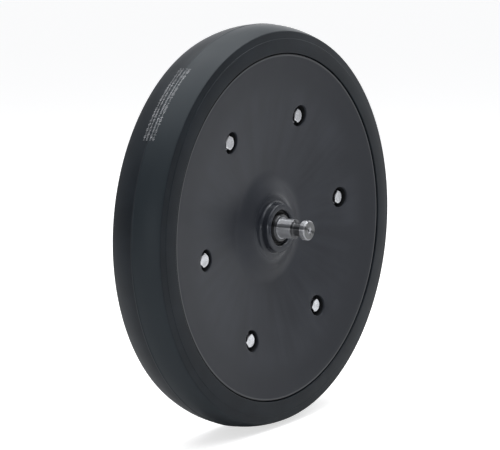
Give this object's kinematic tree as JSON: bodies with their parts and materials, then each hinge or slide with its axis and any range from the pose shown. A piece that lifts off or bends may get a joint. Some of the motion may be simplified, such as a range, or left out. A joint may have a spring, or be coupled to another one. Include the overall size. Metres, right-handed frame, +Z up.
{
  "type": "planter press wheel",
  "caption": "Press wheel for a seed planter: smooth semi-hollow rubber tyre clamped between dished rim halves, turning on sealed bearings around a grooved stub axle.",
  "frame": {"origin": "centre of the wheel, on the spin axis at the mid-plane of the tyre", "axes": "+Y along the spin axis, away from the axle's free end; +Z up; the dished face with the axle looks towards -Y"},
  "size_m": [0.33, 0.0739, 0.33],
  "materials": {
    "tyre_rubber": "satin moulded black rubber",
    "rim_polymer": "fine moulded grain, charcoal black",
    "cap_polymer": "moulded black plastic",
    "zinc_plate": "bright zinc plate",
    "axle_steel": "turned bright steel",
    "bearing_steel": "ground bearing steel",
    "cage_steel": "pressed steel",
    "spring_steel": "phosphated spring steel",
    "seal_rubber": "matt nitrile rubber"
  },
  "bodies": {
    "axle": {"axle": "axle_steel", "axle_circlip": "spring_steel", "spacer_sleeve": "axle_steel", "front_bearing_inner_ring": "bearing_steel", "rear_bearing_inner_ring": "bearing_steel"},
    "wheel": {"tyre": "tyre_rubber", "front_rim_half": "rim_polymer", "rear_rim_half": "rim_polymer", "rim_bolts": "zinc_plate", "bolt_washers": "zinc_plate", "nut_washers": "zinc_plate", "rim_nuts": "zinc_plate", "front_bearing_outer_ring": "bearing_steel", "front_bearing_outboard_seal": "seal_rubber", "front_bearing_inboard_seal": "seal_rubber", "rear_bearing_outer_ring": "bearing_steel", "rear_bearing_outboard_seal": "seal_rubber", "rear_bearing_inboard_seal": "seal_rubber", "front_dust_seal": "seal_rubber", "rear_hub_cap": "cap_polymer"},
    "front_cage": {"front_bearing_cage": "cage_steel", "front_bearing_balls": "bearing_steel"},
    "rear_cage": {"rear_bearing_cage": "cage_steel", "rear_bearing_balls": "bearing_steel"}
  },
  "joints": [
    {"name": "wheel_spin", "type": "hinge", "parent": "axle", "child": "wheel", "pos_m": [0, 0, 0], "axis": [0, 1, 0], "continuous": true},
    {"name": "front_cage_spin", "type": "hinge", "parent": "axle", "child": "front_cage", "pos_m": [0, -0.006, 0], "axis": [0, 1, 0], "continuous": true},
    {"name": "rear_cage_spin", "type": "hinge", "parent": "axle", "child": "rear_cage", "pos_m": [0, 0.006, 0], "axis": [0, 1, 0], "continuous": true}
  ],
  "couplings": [
    {"joint": "front_cage_spin", "follows": "wheel_spin", "ratio": 0.6157},
    {"joint": "rear_cage_spin", "follows": "wheel_spin", "ratio": 0.6157}
  ]
}
